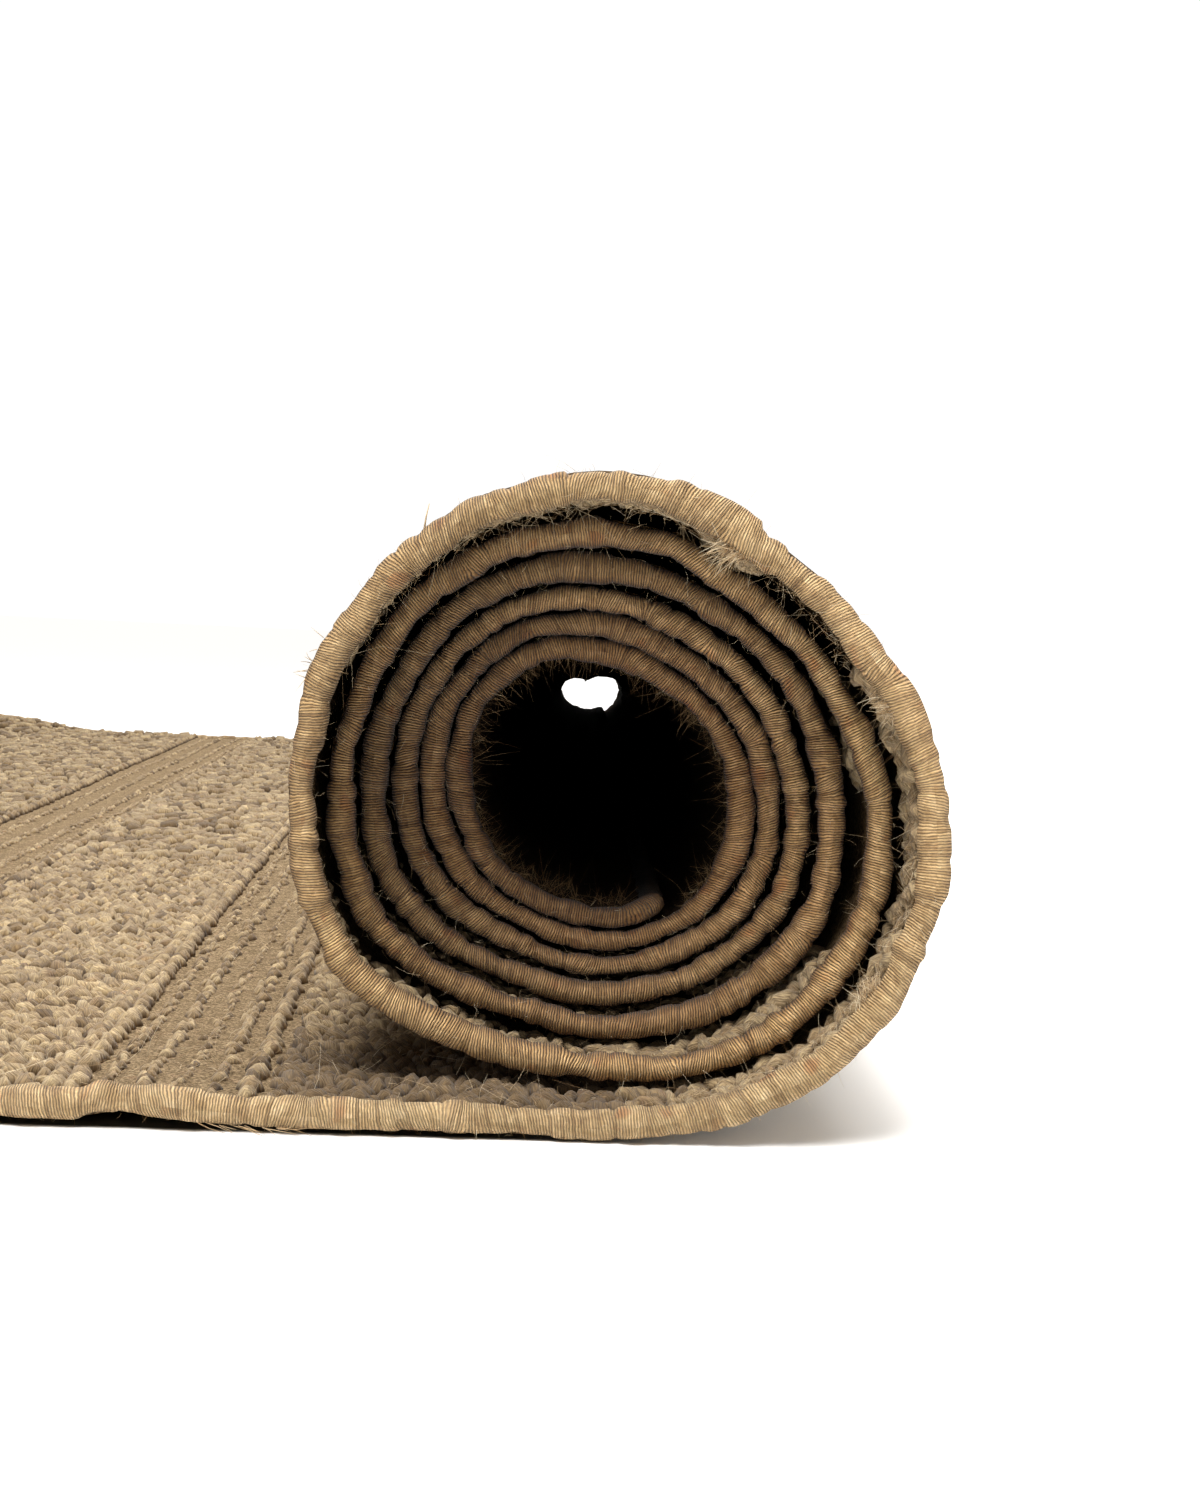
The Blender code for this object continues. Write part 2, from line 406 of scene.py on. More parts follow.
def shaken(tree, where, scale, detail, distance):
    """A vector moved a little this way and that, so that no row is quite straight."""
    shake = noise(tree, where, scale, detail).outputs[1]
    moved = wire(tree, "VectorMath", {0: shake, "Scale": distance}, operation="SCALE").outputs[0]
    return wire(tree, "VectorMath", {0: where, 1: moved}).outputs[0]


def maths(tree, operation, first, second=0.0, third=0.0):
    """The result of one Math node."""
    inputs = {0: first, 1: second, 2: third}
    return wire(tree, "Math", inputs, operation=operation).outputs[0]


def arches(tree, value):
    """0 where the value is whole, 1 halfway between."""
    return maths(tree, "ABSOLUTE", maths(tree, "SINE", maths(tree, "MULTIPLY", value, math.pi)))


def ramp(tree, factor, stops):
    """A colour ramp through (place, colour) stops."""
    node = wire(tree, "ValToRGB", {"Fac": factor})
    elements = node.color_ramp.elements
    while len(elements) < len(stops):
        elements.new(0.5)
    for element, (position, colour) in zip(elements, stops):
        element.position = position
        element.color = (*colour, 1)
    return node.outputs["Color"]


def blended(tree, kind, factor, first, second):
    """The result of mixing two colours."""
    node = tree.nodes.new("ShaderNodeMix")
    node.data_type = "RGBA"
    node.blend_type = kind
    for number, value in ((0, factor), (6, first), (7, second)):
        put(tree, node.inputs[number], value)
    return node.outputs[2]


def shaded(tree, colour, strength, shade):
    """A colour multiplied by another, more or less."""
    return blended(tree, "MULTIPLY", strength, colour, shade)


def bumped(tree, shader, height, distance, strength=1.0):
    """Bump from a height, on the shader's normal."""
    bump = wire(tree, "Bump", {"Height": height, "Strength": strength, "Distance": distance})
    tree.links.new(bump.outputs[0], shader.inputs["Normal"])


def new_group(name, inputs, outputs):
    """An empty node group with named sockets, and its input and output nodes."""
    tree = bpy.data.node_groups.new(name, "ShaderNodeTree")
    for label, kind in inputs:
        tree.interface.new_socket(label, in_out="INPUT", socket_type="NodeSocket" + kind)
    for label, kind in outputs:
        tree.interface.new_socket(label, in_out="OUTPUT", socket_type="NodeSocket" + kind)
    return tree, tree.nodes.new("NodeGroupInput"), tree.nodes.new("NodeGroupOutput")


def yarn_shader(name, roughness, sheen, specular=0.3):
    """A new material with a matt, slightly downy Principled BSDF."""
    material = bpy.data.materials.new(name)
    material.use_nodes = True
    tree = material.node_tree
    shader = tree.nodes["Principled BSDF"]
    shader.inputs["Roughness"].default_value = roughness
    shader.inputs["Sheen Weight"].default_value = sheen
    shader.inputs["Sheen Roughness"].default_value = 0.6
    shader.inputs["Specular IOR Level"].default_value = specular
    print(f"{name}: a new material, roughness {roughness}, sheen {sheen}")
    return material, tree, shader


print("node helpers are ready")

# %% [markdown]
# ## Jute
# Jute yarn is a bundle of coarse, slightly shiny plant fibres. Its colour drifts from straw
# to brown along the yarn, some fibres are rust coloured, and dust greys the hollows. The
# first group gives that colour; the second gives the grain of the fibres, as streaks along
# the yarn, for bump and for small changes of tone.

# %% Shared groups: jute colour and fibre grain
JUTE_STOPS = (
    (0.25, (0.250, 0.142, 0.055)),
    (0.42, (0.450, 0.285, 0.122)),
    (0.58, (0.615, 0.422, 0.205)),
    (0.75, (0.770, 0.570, 0.315)),
)
RUST = (0.42, 0.18, 0.060, 1)
RUSTY_ABOVE = 0.63          # of a noise from 0 to 1: few fibres are rusty
DUST = (0.44, 0.368, 0.262, 1)
COARSE_GRAIN = (250, 3200, 900)     # noise cells in a metre: long along the yarn, thin across
THIN_GRAIN = (500, 7000, 2000)


def jute_colour_group():
    """Colour that drifts over centimetres and changes from fibre to fibre."""
    tree, given, result = new_group(
        "jute_colour", [("Vector", "Vector"), ("Dust", "Float")], [("Color", "Color")]
    )
    where = given.outputs["Vector"]
    drift = noise(tree, where, 45.0, 3.0).outputs[0]
    patch = noise(tree, where, 260.0, 2.0).outputs[0]
    fine = noise(tree, where, 1400.0, 2.0).outputs[0]
    mixed = maths(tree, "MULTIPLY_ADD", patch, 0.55, maths(tree, "MULTIPLY", drift, 0.35))
    mixed = maths(tree, "MULTIPLY_ADD", fine, 0.30, mixed)
    colour = ramp(tree, maths(tree, "SUBTRACT", mixed, 0.10), JUTE_STOPS)
    odd = noise(tree, where, 120.0, 1.0).outputs[0]
    rusty = maths(tree, "MULTIPLY", maths(tree, "SUBTRACT", odd, RUSTY_ABOVE), 6.0)
    rusty = wire(tree, "Clamp", {"Value": rusty, "Max": 0.6}).outputs[0]
    colour = blended(tree, "MIX", rusty, colour, RUST)
    colour = blended(tree, "MIX", given.outputs["Dust"], colour, DUST)
    tree.links.new(colour, result.inputs["Color"])
    return tree


def fibre_grain_group():
    """Streaks along the vector's first axis, from -0.5 to 0.5."""
    tree, given, result = new_group("fibre_grain", [("Vector", "Vector")], [("Streak", "Float")])
    where = given.outputs["Vector"]
    coarse = wire(tree, "Mapping", {"Vector": where, "Scale": COARSE_GRAIN}).outputs[0]
    thin = wire(tree, "Mapping", {"Vector": where, "Scale": THIN_GRAIN}).outputs[0]
    first = noise(tree, coarse, 1.0, 2.0).outputs[0]
    second = noise(tree, thin, 1.0, 1.0).outputs[0]
    total = maths(tree, "ADD", first, second)
    streak = maths(tree, "SUBTRACT", maths(tree, "MULTIPLY", total, 0.5), 0.5)
    tree.links.new(streak, result.inputs["Streak"])
    return tree


jute_colour = jute_colour_group()
fibre_grain = fibre_grain_group()


def grouped(tree, group, inputs):
    """The first output of a node for a group, with its inputs."""
    node = tree.nodes.new("ShaderNodeGroup")
    node.node_tree = group
    for key, value in inputs.items():
        put(tree, node.inputs[key], value)
    return node.outputs[0]


print("shared groups:", jute_colour.name, "and", fibre_grain.name)

# %% [markdown]
# ## The woven field
# The field is one long sheet. It starts as a grid with lines close together only where the
# cloth bends or is seen close by, and is extruded once for its thickness, so both faces
# share the same lines. Its face is plain weave, felted with use, and its back shows rows
# of flat stitches that run across the carpet.

# %% Materials of the field
BASE_TOP = 0.0052           # of the woven ground, above its back
STITCH = (0.0060, 0.0034)   # length across the carpet and width of a stitch on the back
FELT_SPECKS = ((0.42, (0.16, 0.13, 0.10)), (0.58, (1.0, 0.96, 0.91)))
FELT_PATCHES = ((0.38, (0.72, 0.68, 0.62)), (0.62, (1.05, 1.03, 1.0)))
# painted shade: how the ground darkens into the roll, by the share of the wound length
GROUND_SHADE_IN_ROLL = (
    (0.012, (1.0, 1.0, 1.0)),
    (0.04, (0.42, 0.38, 0.33)),
    (0.82, (0.34, 0.30, 0.26)),
    (0.88, (0.10, 0.08, 0.07)),
)
STITCH_SHADE = ((0.05, (0.30, 0.26, 0.22)), (0.55, (0.86, 0.85, 0.83)))


def ground_material():
    """The felted plain weave between the bands of loops, with painted shade inside the roll."""
    material, tree, shader = yarn_shader("woven_ground", 1.0, 0.0, specular=0.1)
    where = uv_place(tree, "flat")
    colour = grouped(tree, jute_colour, {"Vector": where, "Dust": 0.65})
    felt = noise(tree, where, 1000.0, 5.0, Roughness=0.8).outputs[0]
    colour = shaded(tree, colour, 0.9, ramp(tree, felt, FELT_SPECKS))
    blotch = noise(tree, where, 240.0, 3.0).outputs[0]
    colour = shaded(tree, colour, 1.0, ramp(tree, blotch, FELT_PATCHES))
    along = wire(tree, "SeparateXYZ", {0: where}).outputs[0]
    inner = maths(tree, "DIVIDE", along, WOUND)
    # painted shade, darker deeper in the roll and nearly black facing the core
    colour = shaded(tree, colour, 1.0, ramp(tree, inner, GROUND_SHADE_IN_ROLL))
    tree.links.new(colour, shader.inputs["Base Color"])
    bumped(tree, shader, felt, 0.0012)
    return material


def back_material():
    """Rows of flat stitches, as on the back of a handwoven carpet."""
    material, tree, shader = yarn_shader("woven_back", 0.9, 0.05)
    where = uv_place(tree, "flat")
    moved = shaken(tree, where, 90.0, 2.0, 0.0016)
    parts = wire(tree, "SeparateXYZ", {0: moved})
    row = maths(tree, "DIVIDE", parts.outputs[0], STITCH[1])
    odd = maths(tree, "MULTIPLY", maths(tree, "MODULO", maths(tree, "FLOOR", row), 2.0), 0.5)
    step = maths(tree, "ADD", maths(tree, "DIVIDE", parts.outputs[1], STITCH[0]), odd)
    both = maths(tree, "MULTIPLY", arches(tree, row), arches(tree, step))
    stitch = maths(tree, "POWER", both, 0.6)
    colour = grouped(tree, jute_colour, {"Vector": moved, "Dust": 0.4})
    colour = shaded(tree, colour, 0.85, ramp(tree, stitch, STITCH_SHADE))
    tree.links.new(colour, shader.inputs["Base Color"])
    grain = noise(tree, where, 2200.0, 3.0).outputs[0]
    height = maths(tree, "MULTIPLY_ADD", grain, 0.25, stitch)
    bumped(tree, shader, height, 0.0012, strength=0.9)
    return material


ground, back = ground_material(), back_material()

# %% [markdown]
# ## The sheet
# The whole cloth is one sheet, face, back and sides. Its grid lines lie close together on
# the outer turns and near the two ends of the roll, and far apart where nothing is seen.
# It is wound only after it has its thickness, so the two faces keep their distance.

# %% The field as one wound sheet
FIELD_INSET = EDGE_WIDTH * 0.75
field_x = grid_lines(
    (FIELD_INSET - LOOSE_END, -0.02, 0.008),
    (-0.02, 0.55, 0.0055),
    (0.55, WOUND - FIELD_INSET, 0.0075),
)
field_y = grid_lines(
    (FIELD_INSET, 0.06, 0.009),
    (0.06, 0.30, 0.024),
    (0.30, RUG_WIDTH - 0.06, 0.044),
    (RUG_WIDTH - 0.06, RUG_WIDTH - FIELD_INSET, 0.013),
)


def woven_field():
    """The whole cloth: a grid, extruded to its thickness and wound."""
    form = flat_grid(field_x, field_y, BASE_TOP)
    sheet = bmesh.ops.extrude_face_region(form, geom=form.faces[:], use_keep_orig=True)
    for item in sheet["geom"]:
        if isinstance(item, bmesh.types.BMVert):
            item.co.z = 0.0
    bmesh.ops.recalc_face_normals(form, faces=form.faces[:])
    for face in form.faces:
        is_back = all(vertex.co.z < BASE_TOP / 2 for vertex in face.verts)
        face.material_index = 1 if is_back else 0
    mesh = as_mesh(form, "woven_field_cloth")
    flat = mesh_points(mesh)
    add_uv(mesh, "flat", flat[corner_vertices(mesh), :2])
    mesh.vertices.foreach_set("co", wind(flat, pile_squeeze).ravel())
    return finished("woven_field_cloth", mesh, [ground, back])


cloth = woven_field()

# %% [markdown]
# ## The whipped edge
# A thread is wound round the edge so closely that the wraps touch. Whoever does it pulls
# some stretches tighter than others, so the cord is lumpy and the wraps lean this way and
# that in groups. The cord is a grid rolled up into a tube that follows the rounded outline
# of the carpet; the groups shape it, and a UV map says how far along and how far round
# each place is, for the threads. First comes its path, with a small bend at each corner.

# %% The path of the edge
CORNER_STEPS = 12


def edge_path():
    """Points round the carpet's outline, the way out at each, and length so far."""
    half = EDGE_WIDTH / 2
    bend = CORNER_RADIUS - half
    low = (CORNER_RADIUS - LOOSE_END, CORNER_RADIUS)
    high = (WOUND - CORNER_RADIUS, RUG_WIDTH - CORNER_RADIUS)
    centres = ((high[0], low[1]), high, (low[0], high[1]), low)
    points, ways = [(low[0], half)], [-math.pi / 2]
    for number, (x, y) in enumerate(centres):
        for step in range(CORNER_STEPS + 1):
            way = -math.pi / 2 + (number + step / CORNER_STEPS) * math.pi / 2
            points.append((x + bend * math.cos(way), y + bend * math.sin(way)))
            ways.append(way)
    points, ways = np.array(points), np.array(ways)
    lengths = np.concatenate([[0], np.cumsum(np.hypot(*np.diff(points, axis=0).T))])
    return points, ways, lengths


path_points, path_ways, path_lengths = edge_path()
A_CORNER = CORNER_STEPS + 1
NEAR_SIDE = float(path_lengths[1])
PERIMETER = float(path_lengths[-1])
FAR_START = float(path_lengths[2 * A_CORNER])
FAR_END = float(path_lengths[3 * A_CORNER])
print(f"the edge is {PERIMETER:.2f} m round")


def on_edge(length, out, height):
    """Points beside the edge's middle line: so far along, out from it and high."""
    x = np.interp(length, path_lengths, path_points[:, 0])
    y = np.interp(length, path_lengths, path_points[:, 1])
    way = np.interp(length, path_lengths, path_ways)
    return np.stack([x + out * np.cos(way), y + out * np.sin(way), height], axis=1)

# %% [markdown]
# ## Groups of wraps
# Along the edge the wraps come in groups of a few millimetres. Each group has its own
# thickness, bulge and lean, drawn by chance, and blends into the next one. A few knots are
# thicker still, and at one place the cord was joined with a small step.

# %% Groups of wraps
GROUP_LENGTH = (0.004, 0.011)
GROUP_SWELL = 0.30
BLEND = 0.4                 # of a group's length, where it blends into its neighbour
# hour of the winding, how much thicker, half its length: knots where threads were joined
KNOTS = (
    (5.36, 0.20, 0.008), (8.17, 0.18, 0.006), (3.75, 0.14, 0.007), (9.3, 0.10, 0.005),
    (14.6, 0.16, 0.006), (19.2, 0.14, 0.006), (27.5, 0.14, 0.006), (1.9, 0.12, 0.006),
)
JOIN = (5.17, 0.0015)       # hour of the winding where the cord was joined, and its step
JOIN_LENGTHS = (0.0012, 0.006, 0.03)        # over which the step rises, stays and fades
BULGE = (0.55, 0.72)        # how blunt a group's bulge is, and the level it swells from
ROUGH = 0.012               # unevenness from wrap to wrap
WRAP_LEAN = 0.0011          # how far a wrap leans along the cord from one side to the other
LUCK_SEED = 7
luck = np.random.default_rng(LUCK_SEED)

group_starts = np.cumsum(luck.uniform(*GROUP_LENGTH, int(PERIMETER / GROUP_LENGTH[0])))
group_starts = np.concatenate([[0.0], group_starts[group_starts < PERIMETER]])
group_size = luck.normal(0, 0.4, len(group_starts)).clip(-0.7, 0.7)
group_lean = luck.normal(0, 1, len(group_starts)).clip(-1.3, 1.3)
group_depth = luck.uniform(0.3, 1.2, len(group_starts))
group_size[-1], group_lean[-1] = group_size[0], group_lean[0]
group_ends = np.append(group_starts[1:], PERIMETER)


def group_at(length):
    """The number of the group at each place along the edge, and how far through it that is."""
    number = np.clip(np.searchsorted(group_starts, length, side="right") - 1, 0, None)
    through = (length - group_starts[number]) / (group_ends - group_starts)[number]
    return number, through


def in_groups(values, length):
    """Each group's value along the edge, blended only near where two groups meet."""
    number, through = group_at(length)
    before = values[np.maximum(number - 1, 0)]
    after = values[np.minimum(number + 1, len(values) - 1)]
    own = values[number]
    start = (1 - soft_step(through / BLEND)) / 2
    end = soft_step((through - 1 + BLEND) / BLEND) / 2
    return own + (before - own) * start + (after - own) * end


def swell(length):
    """How much thicker or thinner than usual the cord is."""
    number, through = group_at(length)
    bulge = np.sin(np.clip(through, 0, 1) * math.pi) ** BULGE[0] - BULGE[1]
    size = in_groups(group_size, length)
    knots = sum(
        extra * np.exp(-(((length - edge_length(hour)) / half) ** 4))
        for hour, extra, half in KNOTS
    )
    rough = ROUGH * np.sin(length * 4100 + 3 * np.sin(length * 1700))
    return 1 + GROUP_SWELL * (size + group_depth[number] * bulge) + knots + rough


def edge_length(hour):
    """How far along the near edge an hour of the winding is."""
    return float(np.interp(hour, hours_at, length_at)) + LOOSE_END - CORNER_RADIUS


def lean(length):
    """How far the wraps lean, which changes from one group to the next."""
    return WRAP_LEAN * in_groups(group_lean, length)


print(f"{len(group_starts)} groups of wraps")

# %% [markdown]
# ## The thread
# Every wrap of the whipping is a thread of its own, with its own tone and a line of painted
# shade beside it. A material can draw thousands of them: the UV map says how far along the
# edge a place is, and that length divided by the thread's width is the number of the wrap.
# The tone along the winding is given in a table: the inner turns are browner, and painted dim
# where little light comes.

# %% Material of the thread
THREAD = 0.00072            # from one wrap to the next
THREAD_TONES = ((0.0, (0.66, 0.61, 0.55)), (0.12, (0.88, 0.85, 0.82)), (1.0, (1.2, 1.2, 1.2)))
# painted shade in the grooves between wraps; the crests are lifted a little
THREAD_GROOVE_SHADE = ((0.12, (0.07, 0.045, 0.025)), (0.78, (1.1, 1.1, 1.1)))
THREAD_FIBRES = ((0.40, (0.70, 0.66, 0.62)), (0.60, (1.12, 1.12, 1.12)))
# painted shade round the cord, from the side that touches the cloth to the outer side: darkest on
# its sides, in the crevices between the turns
CORD_SIDE_SHADE = (
    (0.50, (0.10, 0.07, 0.05)),
    (0.72, (0.40, 0.33, 0.26)),
    (0.88, (0.80, 0.76, 0.71)),
    (0.97, (1.06, 1.06, 1.06)),
)
# how much of that shade shows, by the share of the wound length
SHADE_WITHIN = ((0.08, (0.15, 0.15, 0.15)), (0.26, (0.95, 0.95, 0.95)))
# tone along the winding, by the share of the wound length: paler at the loose end and browner
# inward, with painted light on the lit side of a turn and painted shade on its shaded side
TONE_LIGHT_AND_SHADE_ALONG = (
    (0.0, (1.10, 1.15, 1.25)), (0.055, (0.99, 0.99, 1.0)), (0.10, (1.06, 1.08, 1.12)),
    (0.17, (0.80, 0.78, 0.75)), (0.23, (1.24, 1.20, 1.17)), (0.285, (1.20, 1.16, 1.12)),
    (0.325, (0.68, 0.61, 0.54)), (0.385, (0.62, 0.54, 0.44)), (0.43, (0.82, 0.72, 0.64)),
    (0.46, (1.12, 1.02, 0.96)), (0.50, (0.58, 0.51, 0.43)), (0.555, (0.42, 0.36, 0.29)),
    (0.60, (0.88, 0.79, 0.72)), (0.64, (1.16, 1.08, 1.03)), (0.715, (0.44, 0.37, 0.30)),
    (0.77, (1.16, 1.04, 0.98)), (0.83, (0.45, 0.37, 0.30)), (0.905, (0.96, 0.82, 0.73)),
    (0.95, (0.48, 0.39, 0.32)), (1.0, (0.10, 0.08, 0.06)),
)


def thread_material():
    """Close wraps of thread: a ridge and a tone for each, painted shade in the grooves between
    them and on the cord's sides, and painted light and shade along the winding.
    """
    material, tree, shader = yarn_shader("whipping_thread", 0.8, 0.08)
    where = uv_place(tree, "wraps")
    moved = shaken(tree, where, 420.0, 3.0, 0.0007)
    parts = wire(tree, "SeparateXYZ", {0: moved})
    wrap = maths(tree, "DIVIDE", parts.outputs[0], THREAD)
    ridge = arches(tree, wrap)
    number = maths(tree, "FLOOR", wrap)
    tone = wire(tree, "TexWhiteNoise", {"W": number}, noise_dimensions="1D").outputs["Value"]
    colour = grouped(tree, jute_colour, {"Vector": moved, "Dust": 0.0})
    colour = shaded(tree, colour, 1.0, ramp(tree, tone, THREAD_TONES))
    uneven = noise(tree, where, 700.0, 2.0).outputs[0]
    open_gap = ranged(tree, uneven, 0.35, 0.62, 0.55, 1.0)
    crown = wire(tree, "SeparateXYZ", {0: uv_place(tree, "crown")})
    # the painted shade in the grooves shows less on the outer turns, fully deeper in the roll
    groove_shade_by_depth = ranged(tree, crown.outputs[1], 0.0, 0.25, 0.45, 1.0)
    gaps = maths(tree, "MULTIPLY", open_gap, groove_shade_by_depth)
    colour = shaded(tree, colour, gaps, ramp(tree, ridge, THREAD_GROOVE_SHADE))
    # painted shade on the cord's sides, shown more deeply in the roll
    side = ramp(tree, crown.outputs[0], CORD_SIDE_SHADE)
    colour = shaded(tree, colour, ramp(tree, crown.outputs[1], SHADE_WITHIN), side)
    # painted light and shade along the winding, on top of the cord's own change of tone
    colour = shaded(tree, colour, 1.0, ramp(tree, crown.outputs[1], TONE_LIGHT_AND_SHADE_ALONG))
    streaky = wire(tree, "CombineXYZ", {0: parts.outputs[1], 1: parts.outputs[0]}).outputs[0]
    streak = grouped(tree, fibre_grain, {"Vector": streaky})
    fibre = ramp(tree, maths(tree, "ADD", streak, 0.5), THREAD_FIBRES)
    colour = shaded(tree, colour, 0.7, fibre)
    tree.links.new(colour, shader.inputs["Base Color"])
    height = maths(tree, "MULTIPLY_ADD", streak, 0.4, ridge)
    height = maths(tree, "MULTIPLY_ADD", tone, 0.35, height)
    bumped(tree, shader, height, 0.0006)
    return material


thread = thread_material()

# %% [markdown]
# ## The cord
# The cord itself is a grid whose two long sides meet: one way it runs along the edge, the
# other way it goes round the cord. Each point is moved out by the swell of its group, then
# the whole cord is wound with the carpet and its seams are merged, so it is closed.

# %% The cord
SIDES = 12                  # faces round the cord
ROUND_LENGTH = 0.025        # of thread in one wrap, for the second value of its UV map
FULLEST = 1.14              # the cord grows no higher than this times its usual height,
ON_FLOOR_HOURS = 0.5        # and up to this hour it keeps its height, to rest on the floor
DEEPEST = 0.95              # share of the wound length; 1 is kept for the end in the core, which gets the darkest painted shade


def whipped_edge(material):
    """The edge cord: a grid rolled into a tube, wound with the carpet and closed."""
    stations = grid_lines(
        (0.0, NEAR_SIDE, 0.00115),
        (NEAR_SIDE, FAR_START, 0.0030),
        (FAR_START, FAR_END, 0.0024),
        (FAR_END, PERIMETER, 0.0030),
    )
    rounds = np.linspace(0, 1, SIDES + 1)
    mesh = as_mesh(flat_grid(stations, rounds, 0.0), "whipped_edge_cord")
    length, round_share, _ = mesh_points(mesh).T
    angle = round_share * 2 * math.pi
    size = swell(length)
    out = EDGE_WIDTH / 2 * size * np.cos(angle)
    fullness = np.abs(np.sin(angle)) ** 0.85 * np.sign(np.sin(angle))
    on_floor = (length < edge_length(ON_FLOOR_HOURS)) & (angle > math.pi)
    limit = np.where(on_floor, 1.0, FULLEST)
    height = EDGE_THICKNESS / 2 * (1 + fullness * np.minimum(size, limit))
    past = length - edge_length(JOIN[0])
    rises, stays, fades = JOIN_LENGTHS
    joined = soft_step(past / rises) * (1 - soft_step((past - stays) / fades))
    height = height - JOIN[1] * joined * (1 - fullness) / 2
    wrap = length + lean(length) * np.sin(angle)
    corners = corner_vertices(mesh)
    add_uv(mesh, "wraps", np.stack([wrap, round_share * ROUND_LENGTH], axis=1)[corners])
    deep = (np.interp(length, path_lengths, path_points[:, 0]) / WOUND).clip(0, DEEPEST)
    at_core = (length > path_lengths[A_CORNER]) & (length < path_lengths[A_CORNER + 2])
    # the end in the core takes the last stop, painted nearly black
    deep = np.where(at_core, 1.0, deep)
    add_uv(mesh, "crown", np.stack([np.cos(angle) / 2 + 0.5, deep], axis=1)[corners])
    mesh.vertices.foreach_set("co", wind(on_edge(length, out, height), edge_squeeze).ravel())
    form = bmesh.new()
    form.from_mesh(mesh)
    bmesh.ops.remove_doubles(form, verts=form.verts[:], dist=1e-6)
    bmesh.ops.recalc_face_normals(form, faces=form.faces[:])
    form.to_mesh(mesh)
    form.free()
    return finished("whipped_edge_cord", mesh, [material])


edge = whipped_edge(thread)

# %% [markdown]
# ## Strewing small shapes
# The pile is thousands of small loops. One is modelled, and copies of it are joined into
# a single mesh: `strewn` takes the shape and, for every copy, where it sits on the flat
# carpet, which way it lies and how big it is, and then winds the lot.

# %% One loop of yarn, and how to strew it
ROLL_SHADOW = 0.95               # painted shadow: how much darker the loops are where the roll overhangs them
ROLL_SHADOW_STRETCH = (-0.086, 0.03)     # from where, and over what length it fades past 0
ARCH = (0.30, 1.2)          # how high a loop's middle is lifted, and how its ends tuck down
S_BEND = 0.22               # how far a loop bends to either side


def yarn_loop(round_sides, rings):
    """An arched bean of yarn, one long, its ends tucked down."""
    form = bmesh.new()
    bmesh.ops.create_uvsphere(form, u_segments=round_sides, v_segments=rings, radius=0.5)
    bmesh.ops.rotate(form, verts=form.verts[:], matrix=Matrix.Rotation(math.pi / 2, 3, "Y"))
    for vertex in form.verts:
        vertex.co.z += ARCH[0] - ARCH[1] * vertex.co.x**2
        vertex.co.y += S_BEND * math.sin(2 * math.pi * vertex.co.x)
    return as_mesh(form, "yarn_loop")


def joined_copies(name, unit, points):
    """One mesh from the points of many copies of a unit mesh, and the corners of its faces."""
    each = len(unit.vertices)
    count = len(points) // each
    starts = np.arange(count)[:, None] * each
    corners = (corner_vertices(unit)[None, :] + starts).ravel()
    totals = np.empty(len(unit.polygons), dtype=int)
    unit.polygons.foreach_get("loop_total", totals)
    totals = np.tile(totals, count)
    mesh = bpy.data.meshes.new(name)
    mesh.vertices.add(len(points))
    mesh.vertices.foreach_set("co", points.ravel())
    mesh.loops.add(len(corners))
    mesh.loops.foreach_set("vertex_index", corners)
    mesh.polygons.add(len(totals))
    mesh.polygons.foreach_set("loop_start", np.concatenate([[0], np.cumsum(totals)[:-1]]))
    mesh.update(calc_edges=True)
    return mesh, corners


def painted_roll_shadow(spots):
    """How much painted shadow each spot gets: most on the stretch under the roll's overhang, at
    its near end.
    """
    start, end = ROLL_SHADOW_STRETCH
    shadowed = soft_step((spots[:, 0] - start) / 0.008) * (1 - soft_step(spots[:, 0] / end))
    return ROLL_SHADOW * shadowed * soft_step(1.6 - spots[:, 1] / 0.08)


def strewn(name, unit, spots, headings, sizes, tones=(0.0, 1.0)):
    """Copies of one mesh on the flat carpet, joined and wound."""
    shape = mesh_points(unit)
    count, each = len(spots), len(shape)
    scaled = shape[None, :, :] * sizes[:, None, :]
    tips = luck.normal(0, 0.16, (count, 1))
    level = scaled[:, :, 2].copy()
    scaled[:, :, 2] = level * np.cos(tips) + scaled[:, :, 0] * np.sin(tips)
    scaled[:, :, 0] = scaled[:, :, 0] * np.cos(tips) - level * np.sin(tips)
    cos, sin = np.cos(headings)[:, None], np.sin(headings)[:, None]
    turned = np.stack(
        [
            scaled[:, :, 0] * cos - scaled[:, :, 1] * sin,
            scaled[:, :, 0] * sin + scaled[:, :, 1] * cos,
            scaled[:, :, 2],
        ],
        axis=2,
    )
    points = (turned + spots[:, None, :]).reshape(-1, 3)
    mesh, corners = joined_copies(name, unit, wind(points, pile_squeeze))
    along = np.tile(shape[:, :2], (count, 1)) * np.repeat(sizes[:, :2], each, axis=0)
    drawn = along + np.repeat(luck.uniform(0, 9, (count, 2)), each, axis=0)
    add_uv(mesh, "yarn", drawn[corners])
    rise = np.tile(shape[:, 2], count)
    # each loop's tone is darkened by the painted shadow of the roll
    tone = np.repeat(luck.uniform(*tones, count) * (1 - painted_roll_shadow(spots)), each)
    add_uv(mesh, "root", np.stack([rise, tone], axis=1)[corners])
    return finished(name, mesh, [loop_yarn])


example = yarn_loop(7, 5)
print(f"a loop of yarn has {len(example.polygons)} faces")
bpy.data.meshes.remove(example)

# %% [markdown]
# ## Loop yarn
# Boucle yarn is spun loosely, so its fibres show as fine streaks, its foot lies in shade and
# every loop has a tone of its own. The tone of each copy comes from its second UV map.

